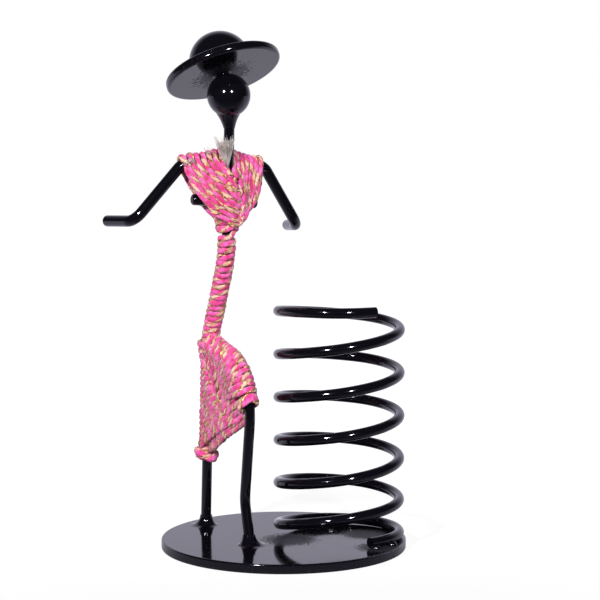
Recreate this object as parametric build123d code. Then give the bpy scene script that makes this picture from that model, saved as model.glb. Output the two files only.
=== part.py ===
from build123d import *
import math
import os

# Pen stand: a round plate that carries an open wire coil and a walking figure of bent rod in a rope dress.
# Millimetres, +Z up. The origin is the centre of the plate's underside, with the coil on the +X side.
# The figure has a frame of its own on the plate's top face: x to its side, y the way it walks, z up.

# Plate
BASE_DIAMETER = 80.0
BASE_THICKNESS = 3.1
BASE_EDGE_RADIUS = 0.5

# Pen coil, with angles in degrees from +X and stretches in turns
COIL_WIRE = 3.4
COIL_MEAN_DIAMETER = 39.4
COIL_PITCH = 14.05
COIL_TURNS = 5.96
COIL_START_ANGLE = 309.0
COIL_FLAT_AT_FOOT = 0.305
COIL_FLAT_AT_TOP = 0.135
COIL_EASE = 0.25
COIL_TIP = 0.6
COIL_MARGIN = 0.6
COIL_SEAT = 0.1
COIL_BEAD_RADIUS = 1.5
COIL_BEAD_ANGLES = (-6.0, 14.0, 92.0)

# The wire bows up a little towards the end of its first turn
COIL_BOW = 1.4
COIL_BOW_TURN = 0.9
COIL_BOW_REACH = 0.36

# Where the figure stands on the plate
FIGURE_INSET = 21.5
FIGURE_Y = 3.0
FIGURE_TURN = 26.9

# Spine rod: front foot, hip, waist and neck, all in the figure's walking plane
ROD = 3.4
FRONT_FOOT_AHEAD = 17.3
HIP_AHEAD = 13.7
HIP_HEIGHT = 62.7
HIP_BEND = 25.0
WAIST_AHEAD = 0.15
WAIST_HEIGHT = 91.5
WAIST_BEND = 30.0

# Rear leg rod: from the hip back, down and out to the rear foot
SEAT_AHEAD = -19.6
SEAT_HEIGHT = 56.2
SEAT_BEND = 18.0
KNEE_AHEAD = -13.3
KNEE_HEIGHT = 13.7
KNEE_BEND = 12.0
REAR_FOOT_AHEAD = -17.3

# Arm rod and chest bar, both welded to the front of the spine rod
ARM_ROD = 3.7
SHOULDER_HEIGHT = 121.8
SHOULDER_HALF_WIDTH = 14.3
SHOULDER_BEND = 5.0
ELBOW_OUT = 14.85
ELBOW_AHEAD = 3.0
ELBOW_DROP = 19.35
ELBOW_BEND = 5.0
HAND_OUT = 3.8
HAND_AHEAD = 14.75
HAND_DROP = 0.9
ARM_TILT = 3.0
ROD_END_RADIUS = 0.9
CHEST_HEIGHT = 109.7
CHEST_LENGTH = 23.1
CHEST_SHIFT = 0.5
CHEST_TILT = 4.3

# Head and hat, with the hat's angles in degrees
HEAD_DIAMETER = 14.0
HEAD_SIDE = -0.45
HEAD_AHEAD = -3.05
HEAD_HEIGHT = 144.0
BRIM_DIAMETER = 37.9
BRIM_THICKNESS = 2.8
BRIM_EDGE_RADIUS = 1.0
CROWN_DIAMETER = 20.1
CROWN_CUT = 1.7
HAT_TIP = 26.0
HAT_ROLL = 6.5
HAT_SIDE = 0.6
HAT_BACK = 0.3

# Weld beads
WELD_GAP = 0.15
WELD_LIP = 0.3
CROSS_BEAD_RADIUS = 2.2
HIP_BEAD_RADIUS = 2.6
FOOT_BEAD_RADIUS = 5.0
FOOT_BEAD_SHIFT = 0.8
FOOT_BEAD_WAIST = 1.1
FOOT_BEAD_HEIGHT = 3.4
NECK_BEAD_RADIUS = 3.9
NECK_BEAD_WAIST = 0.9
NECK_BEAD_HEIGHT = 3.6
NECK_BEAD_LIP = 0.12
HAT_BEAD_RADIUS = 3.2
HAT_BEAD_TAPER = 0.6

# Rope dress
ROPE = 1.3
ROPE_CLEARANCE = 0.1
TORSO_TURNS = 6
TORSO_FIRST_OUT = 3.4
TORSO_LAST_OUT = 14.3
TORSO_FIRST_HEIGHT = 120.4
TORSO_LAST_HEIGHT = 100.4
TORSO_POINT_BEND = 1.35
WAIST_WRAP_HEIGHT = 66.6
WAIST_WRAP_TURNS = 14
WAIST_WRAP_PITCH = 2.4
SKIRT_TURNS = 11
SKIRT_FRONT_TOP = 58.0
SKIRT_FRONT_FOOT = 28.5
SKIRT_HIP_AHEAD = 8.0
SKIRT_SEAT_HEIGHT = 50.0
TIE_PITCH = 1.9
FRONT_TIE_HEIGHT = 21.9
FRONT_TIE_TURNS = 2.0
REAR_TIE_HEIGHT = 44.5
REAR_TIE_TURNS = 1.5

# Frayed rope end at the neck
TUFT_FOOT_HEIGHT = 121.6
TUFT_HEIGHT = 8.0
TUFT_FOOT_WIDTH = 1.8
TUFT_WIDTH = 6.0
TUFT_THICKNESS = 1.5

# Worked out from the sizes above
COIL_RADIUS = COIL_MEAN_DIAMETER / 2
COIL_X = BASE_DIAMETER / 2 - COIL_MARGIN - COIL_RADIUS - COIL_WIRE / 2
ARM_AHEAD_OF_SPINE = (ROD + ARM_ROD) / 2 + WELD_GAP
ROPE_ON_ROD = ROD / 2 + ROPE_CLEARANCE + ROPE / 2
ROPE_ON_ARM = ARM_ROD / 2 + ROPE_CLEARANCE + ROPE / 2
FIGURE_X = FIGURE_INSET - BASE_DIAMETER / 2
FIGURE = Location((FIGURE_X, FIGURE_Y, BASE_THICKNESS), (0, 0, FIGURE_TURN))
HAT = Location((HEAD_SIDE, HEAD_AHEAD, HEAD_HEIGHT), (-HAT_TIP, -HAT_ROLL, 0))
SIDE = Vector(1, 0, 0)
AHEAD = Vector(0, 1, 0)
UP = Vector(0, 0, 1)


def spine_ahead(height):
    """How far ahead the spine's straight upper run lies at a height."""
    share = (height - WAIST_HEIGHT) / (HEAD_HEIGHT - WAIST_HEIGHT)
    return WAIST_AHEAD + share * (HEAD_AHEAD - WAIST_AHEAD)


def biarc(start, start_way, end, end_way):
    """Two arcs that join two points and keep both directions."""
    span = end - start
    ways = start_way + end_way
    closeness = 2 * (1 - start_way.dot(end_way))
    along = span.dot(ways)
    reach = (math.sqrt(along * along + closeness * span.dot(span)) - along) / closeness
    first_control = start + start_way * reach
    second_control = end - end_way * reach
    middle = (first_control + second_control) * 0.5
    middle_way = (second_control - first_control).normalized()
    return [
        TangentArc(start, middle, tangent=start_way),
        TangentArc(middle, end, tangent=middle_way),
    ]


def wound_path(point, turns, tube, steps_per_turn=4):
    """Biarcs through a winding given as a function of turns, with a straight run at each end."""
    steps = max(2, round(turns * steps_per_turn))
    small = 0.001
    stations = [turns * i / steps for i in range(steps + 1)]
    points = [point(u) for u in stations]
    ways = [(point(u + small) - point(u - small)).normalized() for u in stations]
    edges = [Line(points[0] - ways[0] * tube, points[0])]
    for i in range(steps):
        edges += biarc(points[i], ways[i], points[i + 1], ways[i + 1])
    edges.append(Line(points[-1], points[-1] + ways[-1] * tube))
    return Wire(edges)


def round_bar(path, diameter):
    """A round rod or rope along a path."""
    section = Plane(origin=path @ 0, z_dir=path % 0) * Circle(diameter / 2)
    return sweep(section, path=path).solid()


def self_gap(name, path, diameter):
    """Measure on points the least gap between a winding and itself, and print it."""
    step = diameter / 3
    count = int(path.length / step)
    points = [tuple(path @ (i / count)) for i in range(count + 1)]
    skip = int(4 * diameter / step)
    least = min(math.dist(p, q) for i, p in enumerate(points) for q in points[i + skip:])
    print(f"{name}: least gap to itself {least - diameter:.2f}, length {path.length:.0f}")


def length_where(path, measure, value):
    """Length along a path where a measure that falls along it comes down to a value."""
    low = 0.0
    high = path.length
    while high - low > 0.0001:
        middle = (low + high) / 2
        if measure(path.position_at(middle, position_mode=PositionMode.LENGTH)) > value:
            low = middle
        else:
            high = middle
    return low


def place_on(path, length):
    """Point and direction at a length along a path."""
    point = path.position_at(length, position_mode=PositionMode.LENGTH)
    return point, path.tangent_at(length, position_mode=PositionMode.LENGTH)


def rope_round(path, start, pitch):
    """A winding of rope round a rod, as a function of turns."""
    def point(turns):
        centre, way = place_on(path, start + pitch * turns)
        angle = 2 * math.pi * turns
        return centre + (SIDE * math.cos(angle) + way.cross(SIDE) * math.sin(angle)) * ROPE_ON_ROD
    return point


def flared_bead(sections):
    """A weld bead lofted through level circles, each a centre and a radius."""
    return loft([Plane(origin=centre) * Circle(radius) for centre, radius in sections])


def round_ends(bar):
    """Round a rod's two cut ends."""
    ends = bar.faces().filter_by(GeomType.PLANE)
    return fillet(ends.edges(), ROD_END_RADIUS)


def only_solid(shape):
    """The largest solid of a cut."""
    return max(shape.solids(), key=lambda solid: solid.volume)


# Plate
plate = Cylinder(BASE_DIAMETER / 2, BASE_THICKNESS, align=(Align.CENTER, Align.CENTER, Align.MIN))
plate = fillet(plate.edges().filter_by(GeomType.CIRCLE), BASE_EDGE_RADIUS)


# Pen coil: level on the plate, then climbing at the pitch, then level again at the top
def ramp(turns, start):
    """Turns climbed past a start, with the slope coming in over the ease."""
    past = min(max(turns - start, 0), COIL_EASE)
    return past * past / (2 * COIL_EASE) + max(turns - start - COIL_EASE, 0)


def coil_point(turns):
    """Centre of the coil's wire."""
    lift = COIL_FLAT_AT_FOOT
    level = COIL_TURNS - COIL_FLAT_AT_TOP - COIL_EASE
    climb = ramp(turns, lift) - ramp(turns, level)
    slope = (min(max(turns - lift, 0), COIL_EASE) - min(max(turns - level, 0), COIL_EASE)) / COIL_EASE
    angle = math.radians(COIL_START_ANGLE) + 2 * math.pi * turns
    bow = math.cos(math.pi / 2 * min(abs(turns - COIL_BOW_TURN) / COIL_BOW_REACH, 1)) ** 2
    rest_height = BASE_THICKNESS + COIL_SEAT + COIL_WIRE / 2
    height = rest_height + COIL_PITCH * climb + COIL_TIP * slope * math.cos(angle) + COIL_BOW * bow
    return Vector(COIL_X + COIL_RADIUS * math.cos(angle), COIL_RADIUS * math.sin(angle), height)


coil_path = wound_path(coil_point, COIL_TURNS, COIL_WIRE)
coil = round_bar(coil_path, COIL_WIRE)
self_gap("pen_coil", coil_path, COIL_WIRE)

bead_reach = COIL_RADIUS + COIL_WIRE / 2
coil_beads = []
for turn_on in COIL_BEAD_ANGLES:
    angle = math.radians(COIL_START_ANGLE + turn_on)
    centre = (COIL_X + bead_reach * math.cos(angle), bead_reach * math.sin(angle), BASE_THICKNESS)
    coil_beads.append(only_solid(Pos(*centre) * Sphere(COIL_BEAD_RADIUS) - plate - coil))

# Rods in the walking plane, run past the plate's top face and cut level with it
GROUND_SIZE = 2 * BASE_DIAMETER
ground = Box(GROUND_SIZE, GROUND_SIZE, GROUND_SIZE, align=(Align.CENTER, Align.CENTER, Align.MAX))


def foot_below(foot, above):
    """Point below the plate's top face on the line from a point above through a foot."""
    way = (foot - above).normalized()
    return foot + way * ROD


front_foot = Vector(0, FRONT_FOOT_AHEAD, 0)
rear_foot = Vector(0, REAR_FOOT_AHEAD, 0)
hip = Vector(0, HIP_AHEAD, HIP_HEIGHT)
waist = Vector(0, WAIST_AHEAD, WAIST_HEIGHT)
neck_end = Vector(0, HEAD_AHEAD, HEAD_HEIGHT)
head = neck_end + SIDE * HEAD_SIDE
seat = Vector(0, SEAT_AHEAD, SEAT_HEIGHT)
knee = Vector(0, KNEE_AHEAD, KNEE_HEIGHT)

spine_path = FilletPolyline(
    neck_end, waist, hip, foot_below(front_foot, hip), radius=[WAIST_BEND, HIP_BEND]
).wire()
rear_path = FilletPolyline(
    hip, seat, knee, foot_below(rear_foot, knee), radius=[SEAT_BEND, KNEE_BEND]
).wire()

head_ball = Pos(*head) * Sphere(HEAD_DIAMETER / 2)
spine_rod = only_solid(round_bar(spine_path, ROD) - ground - head_ball)
rear_leg_rod = only_solid(round_bar(rear_path, ROD) - ground - spine_rod)

# Arm rod, bent alike on both sides, and the chest bar, both with the left end higher
def arm_tilted(point):
    """A point of the arm rod turned with the rod about its weld to the spine."""
    angle = math.radians(ARM_TILT)
    rise = point.Z - SHOULDER_HEIGHT
    out = point.X * math.cos(angle) + rise * math.sin(angle)
    return Vector(out, point.Y, SHOULDER_HEIGHT + rise * math.cos(angle) - point.X * math.sin(angle))


shoulder_ahead = spine_ahead(SHOULDER_HEIGHT) + ARM_AHEAD_OF_SPINE
right_arm = [Vector(SHOULDER_HALF_WIDTH, shoulder_ahead, SHOULDER_HEIGHT)]
right_arm.append(right_arm[-1] + Vector(ELBOW_OUT, ELBOW_AHEAD, -ELBOW_DROP))
right_arm.append(right_arm[-1] + Vector(HAND_OUT, HAND_AHEAD, -HAND_DROP))
left_arm = [Vector(-p.X, p.Y, p.Z) for p in reversed(right_arm)]
arm_corners = [arm_tilted(p) for p in left_arm + right_arm]
arm_bends = [ELBOW_BEND, SHOULDER_BEND, SHOULDER_BEND, ELBOW_BEND]
arm_path = FilletPolyline(*arm_corners, radius=arm_bends).wire()
arm_rod = round_ends(round_bar(arm_path, ARM_ROD))

chest_ahead = spine_ahead(CHEST_HEIGHT) + ARM_AHEAD_OF_SPINE
chest_place = Location((CHEST_SHIFT, chest_ahead, CHEST_HEIGHT), (0, 90 + CHEST_TILT, 0))
chest_bar = chest_place * round_ends(Cylinder(ARM_ROD / 2, CHEST_LENGTH))

# Hat, square to its own axis through the head's centre
brim_place = HAT * Pos(HAT_SIDE, -HAT_BACK, HEAD_DIAMETER / 2 + WELD_GAP)
brim_disc = Cylinder(BRIM_DIAMETER / 2, BRIM_THICKNESS, align=(Align.CENTER, Align.CENTER, Align.MIN))
hat_brim = brim_place * fillet(brim_disc.edges().filter_by(GeomType.CIRCLE), BRIM_EDGE_RADIUS)
crown_base = Box(BRIM_DIAMETER, BRIM_DIAMETER, BRIM_DIAMETER, align=(Align.CENTER, Align.CENTER, Align.MAX))
crown_ball = Pos(0, 0, CROWN_CUT) * Sphere(CROWN_DIAMETER / 2) - crown_base
hat_crown = brim_place * Pos(0, 0, BRIM_THICKNESS) * only_solid(crown_ball)


# Weld beads, each cut by the pieces that it joins
def foot_bead(path, foot, rod, side):
    """Flared bead round a foot, following the rod's lean and running out to one side."""
    way = (path % 1) * -1
    lean = way * (1 / way.Z)
    sections = [
        (foot + SIDE * side * FOOT_BEAD_SHIFT, FOOT_BEAD_RADIUS),
        (foot + lean * FOOT_BEAD_WAIST, ROD / 2 + FOOT_BEAD_WAIST),
        (foot + lean * FOOT_BEAD_HEIGHT, ROD / 2 + WELD_LIP),
    ]
    return only_solid(flared_bead(sections) - rod)


def cross_bead(height, bar):
    """Bead between the spine rod and a bar that crosses in front of it."""
    ahead = spine_ahead(height) + (ROD + WELD_GAP) / 2
    return only_solid(Pos(0, ahead, height) * Sphere(CROSS_BEAD_RADIUS) - spine_rod - bar)


front_foot_weld = foot_bead(spine_path, front_foot, spine_rod, -1)
rear_foot_weld = foot_bead(rear_path, rear_foot, rear_leg_rod, 1)
shoulder_weld = cross_bead(SHOULDER_HEIGHT, arm_rod)
chest_weld = cross_bead(CHEST_HEIGHT, chest_bar)

hip_bead_centre = hip + (rear_path % 0) * (ROD / 2 + WELD_LIP)
hip_weld = only_solid(Pos(*hip_bead_centre) * Sphere(HIP_BEAD_RADIUS) - spine_rod - rear_leg_rod)

neck_sink = math.sqrt((HEAD_DIAMETER / 2) ** 2 - NECK_BEAD_RADIUS ** 2)
neck_top = HEAD_HEIGHT - neck_sink
neck_foot = HEAD_HEIGHT - HEAD_DIAMETER / 2 - NECK_BEAD_HEIGHT
neck_middle = (neck_top + neck_foot) / 2
neck_sections = [
    (Vector(0, spine_ahead(neck_foot), neck_foot), ROD / 2 + NECK_BEAD_LIP),
    (Vector(HEAD_SIDE / 2, spine_ahead(neck_middle), neck_middle), ROD / 2 + NECK_BEAD_WAIST),
    (Vector(HEAD_SIDE, spine_ahead(neck_top), neck_top), NECK_BEAD_RADIUS),
]
neck_weld = only_solid(flared_bead(neck_sections) - head_ball - spine_rod)

hat_bead_depth = HEAD_DIAMETER / 2 + WELD_GAP - math.sqrt((HEAD_DIAMETER / 2) ** 2 - HAT_BEAD_RADIUS ** 2)
hat_bead = Cone(
    HAT_BEAD_RADIUS - HAT_BEAD_TAPER,
    HAT_BEAD_RADIUS,
    hat_bead_depth,
    align=(Align.CENTER, Align.CENTER, Align.MAX),
)
hat_weld = only_solid(HAT * Pos(0, 0, HEAD_DIAMETER / 2 + WELD_GAP) * hat_bead - head_ball)


# Torso rope: V-shaped turns over both shoulders, behind the spine and over the chest bar
def shoulder_corners(out, side):
    """Where a rope turns over the arm rod behind it and ahead of it, on a side."""
    length = length_where(arm_path, left_of, -side * out)
    centre, way = place_on(arm_path, length)
    lift = way.cross(AHEAD).normalized() * ROPE_ON_ARM
    return centre + lift - AHEAD * ROPE_ON_ARM, centre + lift + AHEAD * ROPE_ON_ARM


def left_of(point):
    return -point.X


def mirrored(point):
    """The same point on the figure's left side."""
    return Vector(-point.X, point.Y, point.Z)


def torso_points():
    """Corners of the torso rope and the bend at each but the first and last."""
    front_chest = chest_ahead + ROPE_ON_ARM
    under_chest = CHEST_HEIGHT - ARM_ROD
    half_point = ROD / 2
    over_bend = 0.94 * ROPE_ON_ARM
    corners = []

    def add(point, bend):
        corners.append((point, bend))

    for turn in range(TORSO_TURNS):
        share = turn / (TORSO_TURNS - 1)
        next_share = min(turn + 1, TORSO_TURNS - 1) / (TORSO_TURNS - 1)
        out = TORSO_FIRST_OUT + share * (TORSO_LAST_OUT - TORSO_FIRST_OUT)
        next_out = TORSO_FIRST_OUT + next_share * (TORSO_LAST_OUT - TORSO_FIRST_OUT)
        left_back = shoulder_corners(out, -1)[0]
        right_back, right_front = shoulder_corners(out, 1)
        next_top = shoulder_corners(next_out, -1)[1]
        low = TORSO_FIRST_HEIGHT + share * (TORSO_LAST_HEIGHT - TORSO_FIRST_HEIGHT)
        below_chest = max(under_chest - low, 0) / (under_chest - TORSO_LAST_HEIGHT)
        front = front_chest + below_chest * (spine_ahead(low) + ROPE_ON_ROD - front_chest)
        back_point = Vector(half_point, spine_ahead(low) - ROPE_ON_ROD, low)
        front_point = Vector(half_point, front, low)
        passes_chest = low < under_chest
        add(left_back, over_bend)
        add(mirrored(back_point), TORSO_POINT_BEND)
        add(back_point, TORSO_POINT_BEND)
        add(right_back, over_bend)
        add(right_front, over_bend)
        if passes_chest:
            add(on_chest(right_front, front_point, 1), over_bend)
        add(front_point, TORSO_POINT_BEND)
        add(mirrored(front_point), TORSO_POINT_BEND)
        if turn < TORSO_TURNS - 1:
            if passes_chest:
                add(mirrored(on_chest(mirrored(next_top), front_point, -1)), over_bend)
            add(next_top, over_bend)
    last = corners[-2][0] - SIDE * (ROD + ROPE)
    return [point for point, _ in corners[:-1]] + [last], [bend for _, bend in corners[1:-1]]


def on_chest(top, point, side):
    """Corner where a rope from the shoulder on a side bends round the tilted chest bar to a point."""
    front = chest_ahead + ROPE_ON_ARM
    slope = math.atan2(front - point.Y, CHEST_HEIGHT - point.Z)
    way = point - top
    out = top.X + way.X * (CHEST_HEIGHT - top.Z) / way.Z
    bar_height = CHEST_HEIGHT - side * out * math.tan(math.radians(CHEST_TILT))
    height = bar_height - ROPE_ON_ARM * math.tan(slope * 0.6)
    return Vector(top.X + way.X * (height - top.Z) / way.Z, front, height)


torso_corners, torso_bends = torso_points()
torso_path = FilletPolyline(*torso_corners, radius=torso_bends).wire()
torso_wrap = round_bar(torso_path, ROPE)
self_gap("torso_wrap", torso_path, ROPE)


# Waist rope and hem ties: close turns round a rod
def height_of(point):
    return point.Z


def ahead_of(point):
    return point.Y


def rod_winding(name, path, foot_height, turns, pitch):
    """Turns of rope round a rod, counted up from a height."""
    foot_length = length_where(path, height_of, foot_height)
    winding = wound_path(rope_round(path, foot_length - pitch * turns, pitch), turns, ROPE)
    self_gap(name, winding, ROPE)
    return round_bar(winding, ROPE)


waist_wrap = rod_winding("waist_wrap", spine_path, WAIST_WRAP_HEIGHT, WAIST_WRAP_TURNS, WAIST_WRAP_PITCH)
front_hem_tie = rod_winding("front_hem_tie", spine_path, FRONT_TIE_HEIGHT, FRONT_TIE_TURNS, TIE_PITCH)
rear_hem_tie = rod_winding("rear_hem_tie", rear_path, REAR_TIE_HEIGHT, REAR_TIE_TURNS, TIE_PITCH)


# Skirt rope: flat turns round the front leg and the rear leg's rod
def skirt_points():
    """Corners of the skirt rope, turn by turn from the hip down."""
    start = length_where(rear_path, ahead_of, SKIRT_HIP_AHEAD)
    stop = length_where(rear_path, height_of, SKIRT_SEAT_HEIGHT)
    corners = []
    for turn in range(SKIRT_TURNS):
        share = turn / (SKIRT_TURNS - 1)
        front_height = SKIRT_FRONT_TOP + share * (SKIRT_FRONT_FOOT - SKIRT_FRONT_TOP)
        front, front_way = place_on(spine_path, length_where(spine_path, height_of, front_height))
        rear, rear_way = place_on(rear_path, start + share * (stop - start))
        way = (front - rear).normalized()
        front_corner = front + way * rod_reach(way, front_way)
        rear_corner = rear - way * rod_reach(way, rear_way)
        corners += [
            front_corner + SIDE * ROPE_ON_ROD,
            front_corner - SIDE * ROPE_ON_ROD,
            rear_corner - SIDE * ROPE_ON_ROD,
            rear_corner + SIDE * ROPE_ON_ROD,
        ]
    return corners


def rod_reach(way, rod_way):
    """How far past a rod's axis a rope turns when it meets the rod at a slant."""
    return ROPE_ON_ROD / way.cross(rod_way).length


skirt_path = FilletPolyline(*skirt_points(), radius=0.94 * ROPE_ON_ROD).wire()
skirt_wrap = round_bar(skirt_path, ROPE)
self_gap("skirt_wrap", skirt_path, ROPE)

# Frayed rope end, standing behind the neck and spreading upwards
tuft_sections = []
for share in (0, 0.5, 1):
    height = TUFT_FOOT_HEIGHT + share * TUFT_HEIGHT
    width = TUFT_FOOT_WIDTH + share * (TUFT_WIDTH - TUFT_FOOT_WIDTH)
    behind = spine_ahead(height) - ROD / 2 - ROPE_CLEARANCE - TUFT_THICKNESS / 2
    tuft_sections.append(Pos(0, behind, height) * Ellipse(width / 2, TUFT_THICKNESS / 2))
neck_tuft = loft(tuft_sections)

plate_parts = {
    "base_plate": plate,
    "pen_coil": coil,
    "coil_welds": Compound(children=coil_beads),
}
figure_parts = {
    "spine_rod": spine_rod,
    "rear_leg_rod": rear_leg_rod,
    "hip_weld": hip_weld,
    "front_foot_weld": front_foot_weld,
    "rear_foot_weld": rear_foot_weld,
    "arm_rod": arm_rod,
    "shoulder_weld": shoulder_weld,
    "chest_bar": chest_bar,
    "chest_weld": chest_weld,
    "head_ball": head_ball,
    "neck_weld": neck_weld,
    "hat_brim": hat_brim,
    "hat_crown": hat_crown,
    "hat_weld": hat_weld,
    "torso_wrap": torso_wrap,
    "waist_wrap": waist_wrap,
    "skirt_wrap": skirt_wrap,
    "front_hem_tie": front_hem_tie,
    "rear_hem_tie": rear_hem_tie,
    "neck_tuft": neck_tuft,
}

os.makedirs("parts", exist_ok=True)
for name, solid in plate_parts.items():
    export_step(solid, f"parts/{name}.step")
for name, solid in figure_parts.items():
    export_step(FIGURE * solid, f"parts/{name}.step")
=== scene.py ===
import math

import bpy
import numpy as np
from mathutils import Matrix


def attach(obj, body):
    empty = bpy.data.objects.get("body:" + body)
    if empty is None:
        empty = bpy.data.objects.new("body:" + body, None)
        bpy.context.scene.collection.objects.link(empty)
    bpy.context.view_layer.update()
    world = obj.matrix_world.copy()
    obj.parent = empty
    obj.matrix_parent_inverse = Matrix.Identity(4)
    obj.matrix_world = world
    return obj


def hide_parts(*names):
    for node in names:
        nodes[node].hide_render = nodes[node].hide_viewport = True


# Looks for a pen stand: black enamelled metal with a walking figure in a dress of twisted rope.
# Sizes of the object are in millimetres and are turned to metres where meshes are made.
# Sizes of the studio are in metres, apart from the camera's place.
# The figure has a frame of its own on the plate: x to its side, y the way it walks, z up from the plate.

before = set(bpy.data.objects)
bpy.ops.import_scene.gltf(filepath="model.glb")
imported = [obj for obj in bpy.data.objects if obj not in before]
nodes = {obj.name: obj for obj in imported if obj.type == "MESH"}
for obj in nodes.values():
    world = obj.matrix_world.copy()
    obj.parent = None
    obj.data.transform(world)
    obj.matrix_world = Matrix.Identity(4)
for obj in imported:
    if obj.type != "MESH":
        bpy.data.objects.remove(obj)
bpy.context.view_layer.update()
rng = np.random.default_rng(11)
MM = 0.001

# Sizes shared with the part's source
FIGURE_PLACE = np.array([-18.5, 3.0, 3.1])
FIGURE_TURN = math.radians(26.9)
ROD_RADIUS = 1.7
ARM_RADIUS = 1.85
HEAD = (0, -3.05, 144.0)
HAT_SEAT = (-1.1, 0.0, 150.3)
WAIST = (0, 0.15, 91.5)
HIP = (0, 13.7, 62.7)
FRONT_FOOT = (0, 17.3, 0)
SEAT = (0, -19.6, 56.2)
KNEE = (0, -13.3, 13.7)
REAR_FOOT = (0, -17.3, 0)
SHOULDER_HEIGHT = 121.8
CHEST_HEIGHT = 109.7
BAR_AHEAD_OF_SPINE = 3.7
SHOULDER_HALF_WIDTH = 14.3
SHOULDER_BEND = 5.0
ELBOW_STEP = (14.85, 3.0, -19.35)
ARM_TILT = math.radians(3.0)

# Rope: a pink strand with a thinner cream one twisted round it, and gold threads in the grooves between them
ROPE_HALF_WIDTH = 1.08
ROPE_FLATNESS = 0.6
ROPE_LAY = 7.0
ROPE_STEP = 0.4
FUZZ_PER_MM = 0.5
HALF_THICK = ROPE_HALF_WIDTH * ROPE_FLATNESS
ON_ROD = ROD_RADIUS + HALF_THICK
ON_ARM = ARM_RADIUS + HALF_THICK
PINK, CREAM, GOLD = range(3)
# Phase, reach, radius, sides and material of each ply and thread in the rope
PLIES = (
    (0, 0.14, 0.94, 12, PINK),
    (math.pi, 0.47, 0.64, 10, CREAM),
    (math.radians(128), 0.85, 0.25, 6, GOLD),
    (math.radians(-128), 0.85, 0.2, 6, GOLD),
)
# How unevenly thick plies and threads are, and the least share of its radius that each keeps
PLY_UNEVEN = 0.09
THREAD_UNEVEN = 0.42
LEAST_THICK = 0.25


def to_row(points):
    """Figure frame in millimetres to row frame in metres."""
    points = np.asarray(points, float)
    cos, sin = math.cos(FIGURE_TURN), math.sin(FIGURE_TURN)
    turned = np.stack([
        points[..., 0] * cos - points[..., 1] * sin,
        points[..., 0] * sin + points[..., 1] * cos,
        points[..., 2],
    ], axis=-1)
    return (turned + FIGURE_PLACE) * MM


def unit(vectors):
    """Vectors scaled to length one."""
    vectors = np.asarray(vectors, float)
    return vectors / np.linalg.norm(vectors, axis=-1, keepdims=True)


def bent_axis(corners, bends, step=0.25):
    """Axis of a bent rod as close points, with a round bend at each inner corner."""
    corners = [np.array(c, float) for c in corners]
    points = [corners[0]]
    for before, corner, after, bend in zip(corners, corners[1:], corners[2:], bends):
        come = unit(corner - before)
        leave = unit(after - corner)
        turn = math.acos(float(np.clip(come @ leave, -1, 1)))
        cut = bend * math.tan(turn / 2)
        start = corner - come * cut
        inward = unit(leave - come * (come @ leave))
        for angle in np.linspace(0, turn, max(4, int(bend * turn / step))):
            points.append(start + come * bend * math.sin(angle) + inward * bend * (1 - math.cos(angle)))
    points.append(corners[-1])
    return resample(np.array(points), step)


def lengths_along(points):
    """Length from a line's start to each of its points."""
    return np.concatenate([[0], np.cumsum(np.linalg.norm(np.diff(points, axis=0), axis=1))])


def resample(points, step):
    """The same line with evenly spaced points."""
    lengths = lengths_along(points)
    stations = np.linspace(0, lengths[-1], max(2, int(lengths[-1] / step) + 1))
    return np.stack([np.interp(stations, lengths, points[:, i]) for i in range(points.shape[1])], axis=1)


def at_length(axis, length):
    """Point and direction on an axis at a length from its start."""
    lengths = lengths_along(axis)

    def point(s):
        return np.array([np.interp(s, lengths, axis[:, i]) for i in range(3)])

    return point(length), unit(point(length + 0.3) - point(length - 0.3))


def length_at(axis, column, value):
    """Length along an axis where a coordinate that falls along it reaches a value."""
    lengths = lengths_along(axis)
    return float(np.interp(-value, -axis[:, column], lengths))


def spine_ahead(height):
    """How far ahead the upper spine lies at a height."""
    return WAIST[1] + (height - WAIST[2]) / (HEAD[2] - WAIST[2]) * (HEAD[1] - WAIST[1])


spine_axis = bent_axis([HEAD, WAIST, HIP, FRONT_FOOT], [30, 25])
rear_axis = bent_axis([HIP, SEAT, KNEE, REAR_FOOT], [18, 12])
bar_ahead = spine_ahead(SHOULDER_HEIGHT) + BAR_AHEAD_OF_SPINE
shoulder = np.array([SHOULDER_HALF_WIDTH, bar_ahead, SHOULDER_HEIGHT])
arm_axis = bent_axis([(0, bar_ahead, SHOULDER_HEIGHT), shoulder, shoulder + ELBOW_STEP], [SHOULDER_BEND])


# Rope
def smooth_line(knots, step=ROPE_STEP):
    """A smooth line through knots, each a point and the way its rope faces, as even points and facings."""
    knots = np.array([np.concatenate([np.asarray(p, float), unit(n)]) for p, n in knots])
    gaps = np.sqrt(np.maximum(np.linalg.norm(np.diff(knots[:, :3], axis=0), axis=1), 0.05))
    slopes = np.diff(knots, axis=0) / gaps[:, None]
    inner = (slopes[:-1] * gaps[1:, None] + slopes[1:] * gaps[:-1, None]) / (gaps[:-1] + gaps[1:])[:, None]
    ways = np.concatenate([slopes[:1], inner, slopes[-1:]])
    line = []
    for i, gap in enumerate(gaps):
        count = max(4, int(gap * gap / step * 2))
        t = np.linspace(0, 1, count, endpoint=False)[:, None]
        line.append(
            (2 * t**3 - 3 * t**2 + 1) * knots[i]
            + (t**3 - 2 * t**2 + t) * gap * ways[i]
            + (3 * t**2 - 2 * t**3) * knots[i + 1]
            + (t**3 - t**2) * gap * ways[i + 1]
        )
    line.append(knots[-1:])
    line = np.concatenate(line)
    lengths = lengths_along(line[:, :3])
    stations = np.linspace(0, lengths[-1], int(lengths[-1] / step) + 1)
    line = np.stack([np.interp(stations, lengths, line[:, i]) for i in range(6)], axis=1)
    return line[:, :3], line[:, 3:]


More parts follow.
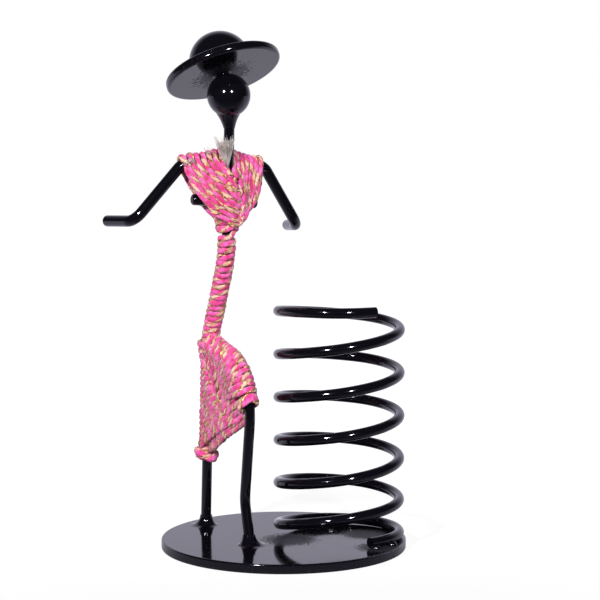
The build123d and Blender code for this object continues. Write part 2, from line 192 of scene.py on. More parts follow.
class MeshParts:
    """Vertices, faces, materials and texture places gathered for one mesh."""

    def __init__(self):
        self.verts = []
        self.faces = []
        self.slots = []
        self.uvs = []
        self.count = 0

    def tube(self, rings, slot, along):
        """A closed tube through rings of points."""
        steps, sides, _ = rings.shape
        self.verts.append(rings.reshape(-1, 3))
        base = self.count
        for i in range(steps - 1):
            for j in range(sides):
                k = (j + 1) % sides
                a = base + i * sides
                b = a + sides
                self.faces.append((a + j, a + k, b + k, b + j))
                u, v = along[i], along[i + 1]
                self.uvs += [(u, j / sides), (u, (j + 1) / sides), (v, (j + 1) / sides), (v, j / sides)]
        last = base + (steps - 1) * sides
        self.faces.append(tuple(base + j for j in reversed(range(sides))))
        self.faces.append(tuple(last + j for j in range(sides)))
        self.uvs += [(along[0], j / sides) for j in reversed(range(sides))]
        self.uvs += [(along[-1], j / sides) for j in range(sides)]
        self.slots += [slot] * ((steps - 1) * sides + 2)
        self.count += steps * sides

    def build(self, name, materials):
        """The mesh object, in the row frame."""
        mesh = bpy.data.meshes.new(name)
        mesh.from_pydata(to_row(np.concatenate(self.verts)).tolist(), [], self.faces)
        for material in materials:
            mesh.materials.append(material)
        mesh.polygons.foreach_set("material_index", self.slots)
        mesh.polygons.foreach_set("use_smooth", [len(f) == 4 for f in self.faces])
        layer = mesh.uv_layers.new(name="along")
        layer.data.foreach_set("uv", np.array(self.uvs).ravel())
        mesh.update()
        piece = bpy.data.objects.new(name, mesh)
        bpy.context.scene.collection.objects.link(piece)
        return piece


def drift(along, spacing, amount):
    """Random values that change smoothly along a line."""
    grid = np.arange(0, along[-1] + 2 * spacing, spacing)
    return np.interp(along, grid, rng.normal(0, amount, len(grid)))


def add_rope(parts, knots, phase=0.0, wide=1.0, flat=ROPE_FLATNESS):
    """Twisted plies along a line of knots."""
    points, facings = smooth_line(knots)
    ways = unit(np.gradient(points, axis=0))
    out = unit(facings - ways * np.sum(facings * ways, axis=1, keepdims=True))
    side = np.cross(ways, out)
    along = np.arange(len(points)) * ROPE_STEP
    twist = phase + np.cumsum(1 + drift(along, 9, 0.25)) * ROPE_STEP * 2 * math.pi / ROPE_LAY
    for ply_phase, reach, radius, sides, slot in PLIES:
        angle = twist + ply_phase + drift(along, 5, 0.1)
        uneven = THREAD_UNEVEN if slot == GOLD else PLY_UNEVEN
        size = radius * np.maximum(1 + drift(along, 4, uneven), LEAST_THICK)
        turn = angle[:, None] + np.linspace(0, 2 * math.pi, sides, endpoint=False)[None, :]
        across = reach * np.cos(angle)[:, None] + size[:, None] * np.cos(turn)
        outward = reach * np.sin(angle)[:, None] + size[:, None] * np.sin(turn)
        rings = (
            points[:, None, :]
            + side[:, None, :] * across[..., None] * wide
            + out[:, None, :] * outward[..., None] * flat
        )
        parts.tube(rings, slot, along)
    add_fuzz(parts, points, ways, out, side, wide)


def add_fuzz(parts, points, ways, out, side, wide):
    """Loose fibre ends that stand off the outward half of a rope."""
    for i in rng.integers(2, len(points) - 2, int(len(points) * ROPE_STEP * FUZZ_PER_MM)):
        angle = rng.uniform(0, math.pi)
        away = side[i] * math.cos(angle) + out[i] * math.sin(angle)
        across = side[i] * math.cos(angle) * ROPE_HALF_WIDTH * wide
        root = points[i] + (across + out[i] * math.sin(angle) * HALF_THICK) * 0.9
        tip = unit(away * rng.uniform(0.3, 1.0) + ways[i] * rng.normal(0, 1.0)) * rng.uniform(0.6, 1.7)
        bend = rng.normal(0, 0.25, 3)
        line = [root, root + tip * 0.5 + bend * 0.5, root + tip + bend * 0.3]
        add_fibre(parts, line, rng.uniform(0.03, 0.055), slot=CREAM if rng.random() < 0.45 else PINK)


def add_fibre(parts, points, radius, slot=0, sides=3):
    """A thin fibre that narrows towards its tip."""
    points = np.asarray(points, float)
    ways = unit(np.gradient(points, axis=0))
    side = unit(np.cross(ways, (0.31, 0.17, 0.93)))
    other = np.cross(ways, side)
    thin = radius * np.linspace(1, 0.35, len(points))
    ring = np.linspace(0, 2 * math.pi, sides, endpoint=False)
    rings = points[:, None, :] + thin[:, None, None] * (
        side[:, None, :] * np.cos(ring)[None, :, None] + other[:, None, :] * np.sin(ring)[None, :, None]
    )
    parts.tube(rings, slot, np.arange(len(points)) * 0.5)


def round_rod(way, angle):
    """Facing at an angle round a rod, from the figure's side towards its front."""
    side = np.array([1.0, 0, 0])
    ahead = np.cross(-way, side)
    return side * math.cos(angle) + ahead * math.sin(angle)


def winding(axis, start, turns, pitch, lift=(0, 0), first_angle=0.0, per_turn=12, wobble=0.0):
    """Knots of rope wound round a rod, upwards and counterclockwise seen from above, lifted more or less."""
    knots = []
    for i in range(int(turns * per_turn) + 1):
        turn = i / per_turn
        raised = lift[0] + (lift[1] - lift[0]) * turn / turns
        centre, way = at_length(axis, start - pitch * turn)
        facing = round_rod(way, first_angle + 2 * math.pi * turn)
        reach = ON_ROD + raised + wobble * rng.uniform(0, 1)
        knots.append((centre + facing * reach - way * wobble * rng.normal(0, 0.5), facing))
    return knots


WAIST_LOW = 60.5
WAIST_TURNS = 19.75
WAIST_PITCH = 2.06


def waist_knots():
    """Close turns from the hip to below the torso, where the end runs up under it."""
    start = length_at(spine_axis, 2, WAIST_LOW)
    knots = winding(spine_axis, start, WAIST_TURNS, WAIST_PITCH, wobble=0.16)
    end_start = start - WAIST_TURNS * WAIST_PITCH - 1.0
    end_angle = 2 * math.pi * (WAIST_TURNS + 0.08)
    return knots + winding(spine_axis, end_start, 0.25, 10.0, first_angle=end_angle)


def wrapped(axis, height, stops):
    """Knots round a rod at a height, from stops of turn in degrees, rise and lift."""
    knots = []
    for degrees, rise, lift in stops:
        centre, way = at_length(axis, length_at(axis, 2, height + rise))
        facing = round_rod(way, math.radians(degrees))
        knots.append((centre + facing * (ON_ROD + lift), facing))
    return knots


def bar_place(out, side):
    """Centre of the tilted arm bar and its upward facing at a distance from the middle on a side."""
    i = int(np.argmin(np.abs(arm_axis[:, 0] - out)))
    i = min(max(i, 2), len(arm_axis) - 3)
    way = unit(arm_axis[i + 2] - arm_axis[i - 2])
    up = np.cross(way, (0, 1, 0))
    point = arm_axis[i] - (0, 0, SHOULDER_HEIGHT)
    return arm_tilted(point * (side, 1, 1)) + (0, 0, SHOULDER_HEIGHT), arm_tilted(unit(up) * (side, 1, 1))


def arm_tilted(point):
    """A point turned as the arm bar is, with its left end higher."""
    cos, sin = math.cos(ARM_TILT), math.sin(ARM_TILT)
    return np.array([point[0] * cos + point[2] * sin, point[1], point[2] * cos - point[0] * sin])


# Where the torso's left and right turns meet on the near side, from the neck down, and how high they pile up
TORSO_SEAM = (-0.5, 1.8, 2.9, 2.6, 2.0, 1.7, 1.3)
TORSO_LOW = (118.0, 114.0, 110.2, 107.6, 105.4, 103.5, 102.0)
TORSO_PILE = (2.0, 1.5, 1.0, 0.5, 0.2, 0.0, 0.0)
TORSO_LOOPS = len(TORSO_SEAM)
# Where the first turn lies on the arm bar and how far apart turns lie there, by side
TORSO_FIRST_OUT = 1.7
TORSO_STEP_OUT = {-1: 2.05, 1: 1.74}


def torso_knots(side):
    """Turns that go over one shoulder and round the far side of the spine, from the neck outwards."""
    knots = []
    step_out = TORSO_STEP_OUT[side]

    def put(x, y, z, nx, ny, nz):
        knots.append(((x, y, z), (nx, ny, nz)))

    def at_loop(loop, values):
        return float(np.interp(loop, range(TORSO_LOOPS), values))

    def over_bar(loop):
        centre, up = bar_place(TORSO_FIRST_OUT + step_out * loop, side)
        pile = at_loop(loop, TORSO_PILE)
        front = centre + (0, ON_ARM, 0)
        top = centre + up * (ON_ARM + pile)
        back = centre - (0, ON_ARM + pile * 0.4, -pile * 0.4)
        put(*front, 0, 1, 0)
        put(*top, *up)
        put(*back, up[0] * 0.4, -1, 0.3)
        return back

    start = over_bar(0)
    for loop in range(TORSO_LOOPS):
        seam = TORSO_SEAM[loop]
        low = at_loop(loop + (0.5 if side > 0 else 0), TORSO_LOW)
        spine = spine_ahead(low)
        near = spine - ON_ROD
        cross = np.array([seam + (0.9 if side > 0 else -0.4), near - (1.1 if side < 0 else 0.8), low + 0.4])
        share = loop / (TORSO_LOOPS - 1)
        run = cross - start
        low_out = np.array([-run[2], 0, run[0]]) * side
        if side < 0:
            stations = ((0.33, 0.055 * share, 0.35), (0.68, 0.105 * share, 1.0 - 0.6 * share))
        else:
            stations = (
                (0.3, 0.015 * share, 0.35),
                (0.65, 0.03 + 0.02 * share, 0.35),
                (0.86, 0.06 * share, 0.4),
            )
        for part, bulge, lift in stations if loop > 0 else ():
            point = start + run * part + low_out * bulge
            put(point[0], point[1] - lift, point[2], side * 0.25, -1, 0.1)
        put(*cross, side * 0.1, -1, 0)
        put(seam - side * 1.0, near + (0.35 if side > 0 else -0.1), low - 0.7, -side * 0.4, -1, 0)
        put(-side * (ON_ROD + 0.15), spine - 0.1, low - 1.6, -side, -0.1, 0)
        drop = min(max((106.0 - low) / 6.0, 0), 1)
        far_front = bar_ahead + 0.7 + ON_ARM
        far = far_front + drop * (spine + ON_ROD + 0.4 - far_front)
        put(-side * 1.2, far, low - 0.6, -side * 0.3, 1, 0)
        put(side * 1.6, far + 0.2, low + 2.0, side * 0.2, 1, 0)
        next_loop = min(loop + 1, TORSO_LOOPS - 0.9)
        if low < 106.5:
            way_up = (CHEST_HEIGHT - low) / (SHOULDER_HEIGHT - low)
            next_out = TORSO_FIRST_OUT + step_out * next_loop
            put(side * (1.6 + way_up * (next_out - 1.6)), far_front + 0.4, CHEST_HEIGHT, side * 0.1, 1, 0)
        start = over_bar(next_loop)
    return knots


def torso_core_knots(side):
    """Older turns between shoulder and seam that back the outer ones."""
    knots = []
    for loop in range(2 * TORSO_LOOPS - 1):
        share = loop / 2
        seam = float(np.interp(share, range(TORSO_LOOPS), TORSO_SEAM))
        low = float(np.interp(share, range(TORSO_LOOPS), TORSO_LOW))
        centre, _ = bar_place(2.2 + (1.95 if side < 0 else 1.65) * share, side)
        top = centre - (0, ON_ARM - 0.5, 0.6)
        foot = np.array([seam + side * 1.6, spine_ahead(low) - ON_ROD - 0.1, low + 1.8])
        ends = [top, top + (foot - top) * 0.6 + (side * 0.5 * share, -0.1, 0), foot]
        for point in ends if loop % 2 == 0 else reversed(ends):
            knots.append((point, (side * 0.2, -1, 0)))
    return knots


SKIRT_LOOPS = 16
SKIRT_TOP = 56.0
SKIRT_FOOT = 27.6
# Where the skirt's turns start and end on the hip rod
HIP_START_AHEAD = 10.4
HIP_END_HEIGHT = 49.6
NEAR_STRANDS = 8
FAR_STRANDS = 5
FRONT_TIE_HEIGHT = 24.2
REAR_TIE_HEIGHT = 46.2


def hip_place(share):
    """Point on the hip rod's axis and its outward facing at a share of the skirt's way down."""
    start = length_at(rear_axis, 1, HIP_START_AHEAD)
    stop = length_at(rear_axis, 2, HIP_END_HEIGHT)
    point, way = at_length(rear_axis, start + share * (stop - start))
    return point, np.array([0, way[2], -way[1]])


def leg_place(height):
    """Point on the front leg's axis and its outward facing at a height."""
    point, way = at_length(spine_axis, length_at(spine_axis, 2, height))
    return point, np.array([0, -way[2], way[1]])


def skirt_knots():
    """Turns round the front leg's top, then a figure of eight round leg and hip rod, from the hip down."""
    knots = winding(spine_axis, length_at(spine_axis, 2, SKIRT_TOP + 0.6), 2.6, 2.1, lift=(0.1, 1.2))[::-1]
    last = SKIRT_LOOPS - 1

    def put(point, x, facing):
        knots.append(((x, point[1], point[2]), facing))

    for loop in range(SKIRT_LOOPS):
        share = loop / last
        hip_point, hip_out = hip_place(share)
        next_point, next_out = hip_place(min(loop + 1, last + 0.4) / last)
        leg_point, leg_out = leg_place(SKIRT_TOP + share * (SKIRT_FOOT - SKIRT_TOP))
        span = np.linalg.norm(leg_point - hip_point)
        down = unit(leg_point - hip_point)
        bulge = np.array([0, -down[2], down[1]]) * span
        slope = math.radians(7 + 19 * share * share)
        rise = np.array([0, -math.cos(slope), math.sin(slope)]) * span
        on_top = 0.40 + 0.2 * share
        layer = 0.75 if loop % 2 else -0.55
        thick = ON_ROD + 0.5 + 0.5 * max(0, 1 - 3 * share)
        put(hip_point + hip_out * thick, 0, hip_out)
        put(hip_point + hip_out * 0.6 + down * 0.9, -thick, (-1, 0.4 * hip_out[1], 0.4 * hip_out[2]))
        put(hip_point + down * span * 0.27 + bulge * 0.08, -ON_ROD - 0.4, (-1, 0, 0))
        put(hip_point + down * span * 0.44 + bulge * 0.07, -ON_ROD + 0.1 - layer, (-1, 0, 0))
        put(hip_point + down * span * 0.62 + bulge * 0.03, -1.4 - layer * 0.6, (-1, 0, 0))
        put(leg_point + leg_out * 0.3, ON_ROD, (1, 0, 0))
        put(leg_point + leg_out * ON_ROD, 0, leg_out)
        put(leg_point, -ON_ROD, (-1, 0, 0))
        put(leg_point + rise * 0.20, -ON_ROD - 0.6, (-1, 0, 0))
        put(leg_point + rise * on_top, -ON_ROD - 0.8 + 0.9 * share ** 4, (-1, 0, 0))
        put(leg_point + rise * (on_top + 0.12), -1.3, (-0.9, 0, 0.4))
        put(next_point + unit(leg_point - next_point) * span * 0.3, 1.9, (1, 0, 0))
        put(next_point + next_out * 0.5, ON_ROD, (1, 0, 0))
    return knots


def hem_knots():
    """Strands along the near side of the hem, turns round the front leg, then strands along the far side."""
    knots = []
    for strand in range(NEAR_STRANDS):
        rear, _ = at_length(rear_axis, length_at(rear_axis, 2, 48.6 - 1.09 * strand))
        leg, _ = leg_place(SKIRT_FOOT + 3.8 - 0.75 * strand)
        round_leg = math.radians(205 + 9 * strand)
        leg_out = np.array([math.cos(round_leg), math.sin(round_leg), 0])
        near_end = np.array([-1.2 + 0.22 * strand, rear[1] + 2.4, rear[2]])
        near_leg = leg + leg_out * (ON_ROD + 0.3)
        middle = near_end * 0.5 + near_leg * 0.5 + (-1.4, 0, 0.5 - 0.17 * strand)
        ends = [(near_end, (-1, 0, 0.2)), (middle, (-1, -0.2, 0.1)), (near_leg, leg_out)]
        knots += ends if strand % 2 else ends[::-1]
    foot = length_at(spine_axis, 2, SKIRT_FOOT - 3.0)
    knots += winding(spine_axis, foot, 2.5, 1.8, lift=(0.1, 0.1), first_angle=math.pi)[::-1]
    for strand in range(FAR_STRANDS):
        rear, _ = at_length(rear_axis, length_at(rear_axis, 2, 41.0 + 1.4 * strand))
        leg, _ = leg_place(SKIRT_FOOT - 0.7 + 0.9 * strand)
        ends = [
            ((ON_ROD, leg[1], leg[2]), (1, 0, 0)),
            ((0.9, (leg[1] + rear[1]) / 2, (leg[2] + rear[2]) / 2), (-1, 0, 0.3)),
            ((1.2, rear[1] + 2.4, rear[2]), (1, 0, 0)),
        ]
        knots += ends if strand % 2 == 0 else ends[::-1]
    return knots


def skirt_core_knots():
    """Older turns that lie flat between the rods and back the outer ones."""
    knots = []
    for loop in range(SKIRT_LOOPS + 2):
        share = loop / (SKIRT_LOOPS + 1)
        hip_point, _ = hip_place(share)
        leg_point, _ = leg_place(SKIRT_TOP + share * (SKIRT_FOOT + 1 - SKIRT_TOP))
        down = unit(leg_point - hip_point)
        ends = [(hip_point + down * 3.0), (leg_point - down * 3.0)]
        for point in ends if loop % 2 == 0 else reversed(ends):
            knots.append((point, (-1, 0, 0)))
    return knots


def front_tie_knots():
    """Two turns round the front leg that cross on the near side and lock the hem."""
    return wrapped(spine_axis, FRONT_TIE_HEIGHT, [
        (60, 0.4, 0.1), (110, 0.4, 0.4), (153, 0.1, 0.9), (200, -0.2, 0.8),
        (243, -0.3, 0.5), (290, -0.1, 0.6), (333, 0.1, 0.8), (20, 0.1, 0.4),
        (65, 0.2, 0.3), (110, 0.8, 0.7), (150, 1.3, 1.2), (185, 1.3, 1.6),
        (225, 0.5, 1.6), (262, -0.5, 1.4), (292, -0.9, 1.0), (320, -0.9, 0.4),
    ])


def rear_tie_knots():
    """A turn that arches over the near side of the rear leg and locks the hem."""
    return wrapped(rear_axis, REAR_TIE_HEIGHT, [
        (90, -1.6, 0.3), (130, -1.4, 0.6), (165, -0.9, 0.9), (200, 0.1, 0.6),
        (232, 0.9, 0.35), (262, 1.1, 0.2), (295, 0.9, 0.15), (330, 0.2, 0.1),
        (15, -0.3, 0.1), (60, -0.5, 0.2), (105, -0.6, 0.5),
    ])


# Materials
ENAMEL_BLACK = (0.0022, 0.002, 0.0034, 1)
OVERSPRAY_GREY = (0.014, 0.013, 0.017, 1)
VIOLET_TINT = (0.86, 0.84, 1.0, 1)
WHITE = (1, 1, 1, 1)
# Middle and reach of the overspray on the plate, and its reach on the brim
PLATE_SPOTS = (((1.8, -4.5, 3.1), 12.0), ((27.0, 3.5, 3.1), 10.0), ((30.0, -16.0, 3.1), 9.0))
BRIM_REACH = 12.5
# Sockets of a mix node, for colours and for numbers
COLOUR_A, COLOUR_B, COLOUR_OUT = 6, 7, 2
NUMBER_A, NUMBER_B, NUMBER_OUT = 2, 3, 0


def node_maker(tree):
    """Makers of nodes and of links in a node tree."""

    def make(kind, **inputs):
        node = tree.nodes.new(kind)
        for key, value in inputs.items():
            if key in node.inputs:
                node.inputs[key].default_value = value
            else:
                setattr(node, key, value)
        return node

    return make, tree.links.new


def node_material(name):
    """An empty node material with its shader and makers of nodes and links."""
    material = bpy.data.materials.new(name)
    material.use_nodes = True
    tree = material.node_tree
    return material, tree.nodes["Principled BSDF"], *node_maker(tree)


def map_range(make, link, value, from_ends, to_ends, **more):
    """A value carried from one range to another."""
    node = make("ShaderNodeMapRange", **more)
    for key, end in zip(("From Min", "From Max", "To Min", "To Max"), (*from_ends, *to_ends)):
        node.inputs[key].default_value = end
    link(value, node.inputs["Value"])
    return node.outputs["Result"]


def colour_mix(make, link, share, first, second):
    """Two colours mixed by a share."""
    node = make("ShaderNodeMix", data_type="RGBA")
    node.inputs[COLOUR_A].default_value = first
    node.inputs[COLOUR_B].default_value = second
    link(share, node.inputs[0])
    return node.outputs[COLOUR_OUT]


def colour_ramp(make, link, value, stops):
    """Colours looked up by a value, from stops of place and colour."""
    ramp = make("ShaderNodeValToRGB")
    elements = ramp.color_ramp.elements
    first, *middle, last = stops
    for element, (position, colour) in zip(elements, (first, last)):
        element.position = position
        element.color = (*colour, 1)
    for position, colour in middle:
        elements.new(position).color = (*colour, 1)
    link(value, ramp.inputs["Fac"])
    return ramp.outputs["Color"]


def add_bump(make, link, shader, height, strength, distance):
    """Fine relief from a height."""
    bump = make("ShaderNodeBump", Strength=strength, Distance=distance)
    link(height, bump.inputs["Height"])
    link(bump.outputs["Normal"], shader.inputs["Normal"])


def black_enamel(name, spots):
    """Gloss black enamel with a faint orange peel, and dull grains of overspray round the spots."""
    material, shader, make, link = node_material(name)
    shader.inputs["Base Color"].default_value = ENAMEL_BLACK
    shader.inputs["IOR"].default_value = 1.5
    shader.inputs["Specular Tint"].default_value = VIOLET_TINT
    place = make("ShaderNodeTexCoord").outputs["Object"]
    peel = make("ShaderNodeTexNoise", Scale=900.0, Detail=2.0)
    link(place, peel.inputs["Vector"])
    roughness = map_range(make, link, peel.outputs["Fac"], (0, 1), (0.06, 0.11))
    height = peel.outputs["Fac"]
    if spots:
        speck = overspray(make, link, place, spots)
        link(colour_mix(make, link, speck, ENAMEL_BLACK, OVERSPRAY_GREY), shader.inputs["Base Color"])
        dull = make("ShaderNodeMix", data_type="FLOAT")
        dull.inputs[NUMBER_B].default_value = 0.55
        link(speck, dull.inputs[0])
        link(roughness, dull.inputs[NUMBER_A])
        roughness = dull.outputs[NUMBER_OUT]
        raised = make("ShaderNodeMath", operation="MULTIPLY_ADD")
        link(speck, raised.inputs[0])
        raised.inputs[1].default_value = 0.8
        link(height, raised.inputs[2])
        height = raised.outputs["Value"]
    link(roughness, shader.inputs["Roughness"])
    add_bump(make, link, shader, height, 0.12, 0.00006)
    return material


def overspray(make, link, place, spots):
    """Grains that lie close at the middle of each spot and thin out to its reach."""
    nearest = None
    for centre, reach in spots:
        away = make("ShaderNodeVectorMath", operation="DISTANCE")
        link(place, away.inputs[0])
        away.inputs[1].default_value = centre
        near = map_range(make, link, away.outputs["Value"], (0, reach * MM), (1.6, 0))
        if nearest is None:
            nearest = near
        else:
            most = make("ShaderNodeMath", operation="MAXIMUM")
            link(nearest, most.inputs[0])
            link(near, most.inputs[1])
            nearest = most.outputs["Value"]
    grit = make("ShaderNodeTexNoise", Scale=1300.0, Detail=2.0)
    link(place, grit.inputs["Vector"])
    dust = make("ShaderNodeMath", operation="MULTIPLY_ADD")
    link(grit.outputs["Fac"], dust.inputs[0])
    dust.inputs[1].default_value = 2.4
    link(nearest, dust.inputs[2])
    return map_range(make, link, dust.outputs["Value"], (1.54, 1.86), (0, 1))


def yarn(name, shades, sheen):
    """Spun yarn: shades mixed along its length, partly its own uneven tone and partly painted shade and
    highlight, and fine fibres laid at a slant, with painted shade in the lines between them.
    """
    material, shader, make, link = node_material(name)
    shader.inputs["Roughness"].default_value = 0.72
    shader.inputs["Sheen Weight"].default_value = sheen
    shader.inputs["Specular IOR Level"].default_value = 0.3
    place = make("ShaderNodeTexCoord")
    # Patches from deep to light colour: partly the yarn's uneven tone, partly painted shade and highlight
    patch = make("ShaderNodeTexNoise", Scale=420.0, Detail=3.0, Roughness=0.6)
    link(place.outputs["Object"], patch.inputs["Vector"])
    colour = colour_ramp(make, link, patch.outputs["Fac"], list(zip((0.36, 0.5, 0.64), shades)))
    uv = make("ShaderNodeUVMap", uv_map="along")
    slant = make("ShaderNodeMapping")
    slant.inputs["Rotation"].default_value = (0, 0, math.radians(24))
    slant.inputs["Scale"].default_value = (1.0, 9.0, 1.0)
    link(uv.outputs["UV"], slant.inputs["Vector"])
    fibre = make("ShaderNodeTexWave", Scale=1.6, Distortion=2.0, Detail=2.0, bands_direction="Y")
    link(slant.outputs["Vector"], fibre.inputs["Vector"])
    # Painted shade: the colour darkens in the lines between fibres, where the relief dips
    shade = make("ShaderNodeMix", data_type="RGBA", blend_type="MULTIPLY")
    shade.inputs[0].default_value = 0.34
    link(colour, shade.inputs[COLOUR_A])
    link(fibre.outputs["Color"], shade.inputs[COLOUR_B])
    link(shade.outputs[COLOUR_OUT], shader.inputs["Base Color"])
    add_bump(make, link, shader, fibre.outputs["Fac"], 0.5, 0.00012)
    return material


def gold_thread():
    """Metallic thread with small spots of dark brown and bright gold in its colour, painted glints and shade,
    and roughness and relief that follow the same spots.
    """
    material, shader, make, link = node_material("gold_thread")
    shader.inputs["Metallic"].default_value = 0.7
    place = make("ShaderNodeTexCoord")
    glint_noise = make("ShaderNodeTexNoise", Scale=1600.0, Detail=1.0)
    link(place.outputs["Object"], glint_noise.inputs["Vector"])
    glint_spots = glint_noise.outputs["Fac"]
    # Painted glints and shade: bright gold and dark brown spots in the thread's colour
    stops = [(0.35, (0.16, 0.075, 0.018)), (0.65, (0.95, 0.60, 0.2))]
    link(colour_ramp(make, link, glint_spots, stops), shader.inputs["Base Color"])
    link(map_range(make, link, glint_spots, (0, 1), (0.2, 0.5)), shader.inputs["Roughness"])
    add_bump(make, link, shader, glint_spots, 0.8, 0.0001)
    return material


enamel = black_enamel("black_enamel", [])
plate_enamel = black_enamel("plate_enamel", [(np.array(c) * MM, reach) for c, reach in PLATE_SPOTS])
brim_enamel = black_enamel("brim_enamel", [(to_row(HAT_SEAT), BRIM_REACH)])
enamel_of = {"base_plate": plate_enamel, "hat_brim": brim_enamel}
# The darkest and lightest shade of each yarn stand partly for painted shade and highlight
pink_yarn = yarn("pink_yarn", [(0.74, 0.022, 0.19), (0.95, 0.08, 0.38), (1.0, 0.2, 0.6)], 0.25)
cream_yarn = yarn("cream_yarn", [(0.56, 0.24, 0.18), (0.88, 0.50, 0.40), (0.98, 0.70, 0.57)], 0.2)
gold = gold_thread()
frayed = yarn("frayed_fibre", [(0.44, 0.36, 0.33), (0.64, 0.55, 0.52), (0.80, 0.73, 0.71)], 0.2)

SOFT = ("torso_wrap", "waist_wrap", "skirt_wrap", "front_hem_tie", "rear_hem_tie", "neck_tuft")
for name, node in nodes.items():
    if name not in SOFT:
        node.data.materials.clear()
        node.data.materials.append(enamel_of.get(name, enamel))


def rope_piece(name, lines, node, wide=1.0, flat=ROPE_FLATNESS):
    """One rope object from lines of knots, standing for a CAD node."""
    parts = MeshParts()
    for i, knots in enumerate(lines):
        add_rope(parts, knots, phase=1.3 * i, wide=wide, flat=flat)
    piece = parts.build(name, [pink_yarn, cream_yarn, gold])
    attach(piece, "root")
    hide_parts(node)


torso_lines = [torso_knots(-1), torso_knots(1), torso_core_knots(-1), torso_core_knots(1)]
rope_piece("torso_rope", torso_lines, "torso_wrap", wide=0.88, flat=0.84)
rope_piece("waist_rope", [waist_knots()], "waist_wrap")
rope_piece("skirt_rope", [skirt_knots(), skirt_core_knots(), hem_knots()], "skirt_wrap", wide=1.06, flat=0.74)
rope_piece("front_tie_rope", [front_tie_knots()], "front_hem_tie", wide=1.2, flat=0.74)
rope_piece("rear_tie_rope", [rear_tie_knots()], "rear_hem_tie", wide=1.45, flat=0.74)


# Frayed rope end at the neck
def tuft_piece():
    """Loose fibres that stand behind the neck and spread upwards, and a few on the left shoulder."""
    parts = MeshParts()

    def fray(count, root, reach, width, height):
        for _ in range(count):
            spread = rng.uniform(-1, 1)
            depth = rng.uniform(-1, 1)
            tall = rng.uniform(0.74, 1.0) + 0.1 * math.cos(7 * spread)
            low = 0.25 * height * (1 - abs(spread))
            foot = np.add(root, (0.17 * spread * width, 0.4 * depth, -low))
            lean = np.multiply(reach, tall) + (width * spread + 0.3 * math.sin(9 * spread), 0.7 * depth, low)
            curl = np.array([rng.normal(0, 0.3), rng.normal(0, 0.2), height * rng.normal(0, 0.05)])
            steps = np.linspace(0, 1, 7)[:, None]
            line = foot + lean * steps + curl * np.sin(steps * math.pi)
            add_fibre(parts, line, rng.uniform(0.06, 0.12), sides=4)

    back = spine_ahead(122) - ROD_RADIUS - 1.0
    fray(170, (-1.6, back, 122.4), (-1.2, -0.3, 8.2), 2.7, 7)
    fray(9, (-0.6, back + 2.5, 123.0), (1.6, 0.2, 4.6), 1.2, 4)
    shoulder, _ = bar_place(12.4, -1)
    fray(16, shoulder + (-0.1, -ON_ARM - 0.9, 1.7), (-1.4, -0.3, -2.4), 1.9, 3)
    fray(8, shoulder + (6.0, -ON_ARM - 0.4, 3.2), (-0.8, -0.2, 1.9), 1.2, 2)
    piece = parts.build("neck_fray", [frayed])
    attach(piece, "root")
    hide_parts("neck_tuft")


tuft_piece()


# Floor, lamps and camera
FLOOR_HALF = 3.0
FLOOR_NEAR = -0.16
LAMP_AIM = np.array([0, 0, 0.085])
LAMP_ELEVATION = 23.5
LAMP_DISTANCE = 1.0
LAMP_WIDTH = 0.10
CAMERA_PLACE = (5.34, -676, 154.0)
CAMERA_DOWN = 6.155
CAMERA_LENS = 125.94
CAMERA_SENSOR = 36.0


def seen_white(make, link, studio):
    """Strength and colour: white to the camera, the studio's dimmer, faintly violet light to others."""
    seen = make("ShaderNodeLightPath").outputs["Is Camera Ray"]
    most = make("ShaderNodeMath", operation="MAXIMUM")
    link(seen, most.inputs[0])
    link(studio, most.inputs[1])
    return most.outputs["Value"], colour_mix(make, link, seen, VIOLET_TINT, WHITE)


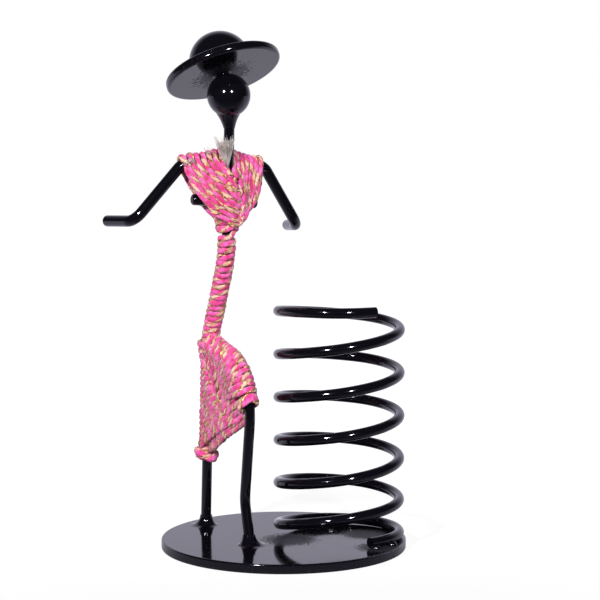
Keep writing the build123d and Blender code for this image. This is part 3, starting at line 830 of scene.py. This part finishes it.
def white_floor():
    """A wide pale floor that runs on behind the object, shows white and keeps the shadow."""
    mesh = bpy.data.meshes.new("floor")
    left, right, near, far = -FLOOR_HALF, FLOOR_HALF, FLOOR_NEAR, FLOOR_HALF
    corners = [(left, near, 0), (right, near, 0), (right, far, 0), (left, far, 0)]
    mesh.from_pydata(corners, [], [(0, 1, 2, 3)])
    floor = bpy.data.objects.new("floor", mesh)
    bpy.context.scene.collection.objects.link(floor)
    material, shader, make, link = node_material("white_floor")
    shader.inputs["Roughness"].default_value = 0.9
    shader.inputs["Specular IOR Level"].default_value = 0.0
    place = make("ShaderNodeTexCoord").outputs["Object"]
    split = make("ShaderNodeSeparateXYZ")
    link(place, split.inputs["Vector"])
    depth = split.outputs["Y"]
    # Painted studio light and shade: to rays other than the camera's the floor glows, dim in front of the
    # object and bright behind it
    back = map_range(make, link, depth, (-0.12, 0.12), (0.03, 0.85), interpolation_type="SMOOTHSTEP")
    strength, tint = seen_white(make, link, back)
    away = make("ShaderNodeVectorMath", operation="LENGTH")
    link(place, away.inputs[0])
    # Painted light: the floor glows a little more strongly far from the object, where the lamps reach it less
    level = map_range(make, link, away.outputs["Value"], (0.08, 0.3), (0.9, 1.0))
    shown = make("ShaderNodeMath", operation="MULTIPLY")
    link(strength, shown.inputs[0])
    link(level, shown.inputs[1])
    link(shown.outputs["Value"], shader.inputs["Emission Strength"])
    link(tint, shader.inputs["Emission Color"])
    # Painted shade: the floor's colour is dark in front of the object and paler behind it
    paper_with_front_shade = colour_mix(make, link, back, (0.05, 0.05, 0.05, 1), (0.26, 0.26, 0.26, 1))
    link(paper_with_front_shade, shader.inputs["Base Color"])
    mesh.materials.append(material)


def studio_world():
    """Bright low down behind the object, dim above and in front; plain white where the camera sees it."""
    world = bpy.data.worlds.new("studio")
    bpy.context.scene.world = world
    world.use_nodes = True
    shown = world.node_tree.nodes["Background"]
    make, link = node_maker(world.node_tree)
    place = make("ShaderNodeTexCoord")
    behind = make("ShaderNodeVectorMath", operation="DOT_PRODUCT")
    behind.inputs[1].default_value = (0, 0.95, -0.3)
    link(place.outputs["Generated"], behind.inputs[0])
    low_behind = behind.outputs["Value"]
    glow = map_range(make, link, low_behind, (0.15, 0.8), (0.04, 0.85), interpolation_type="SMOOTHSTEP")
    strength, tint = seen_white(make, link, glow)
    link(strength, shown.inputs["Strength"])
    link(tint, shown.inputs["Color"])


def lamp(name, azimuth, power):
    """A round lamp that faces the object; azimuth 0 is the camera's side."""
    data = bpy.data.lights.new(name, "AREA")
    data.shape = "DISK"
    data.size = LAMP_WIDTH
    data.energy = power
    item = bpy.data.objects.new(name, data)
    bpy.context.scene.collection.objects.link(item)
    a, e = math.radians(azimuth), math.radians(LAMP_ELEVATION)
    away = np.array([math.sin(a) * math.cos(e), -math.cos(a) * math.cos(e), math.sin(e)])
    item.location = LAMP_AIM + away * LAMP_DISTANCE
    item.rotation_euler = (math.pi / 2 - e, 0, a)


white_floor()
studio_world()
lamp("left_lamp", -26, 11.0)
lamp("right_lamp", 18, 7.5)

camera_data = bpy.data.cameras.new("camera")
camera_data.sensor_width = CAMERA_SENSOR
camera_data.lens = CAMERA_LENS
camera = bpy.data.objects.new("camera", camera_data)
bpy.context.scene.collection.objects.link(camera)
camera.location = [c * MM for c in CAMERA_PLACE]
camera.rotation_euler = (math.radians(90 - CAMERA_DOWN), 0, 0)
bpy.context.scene.camera = camera
bpy.context.scene.view_settings.view_transform = "Standard"
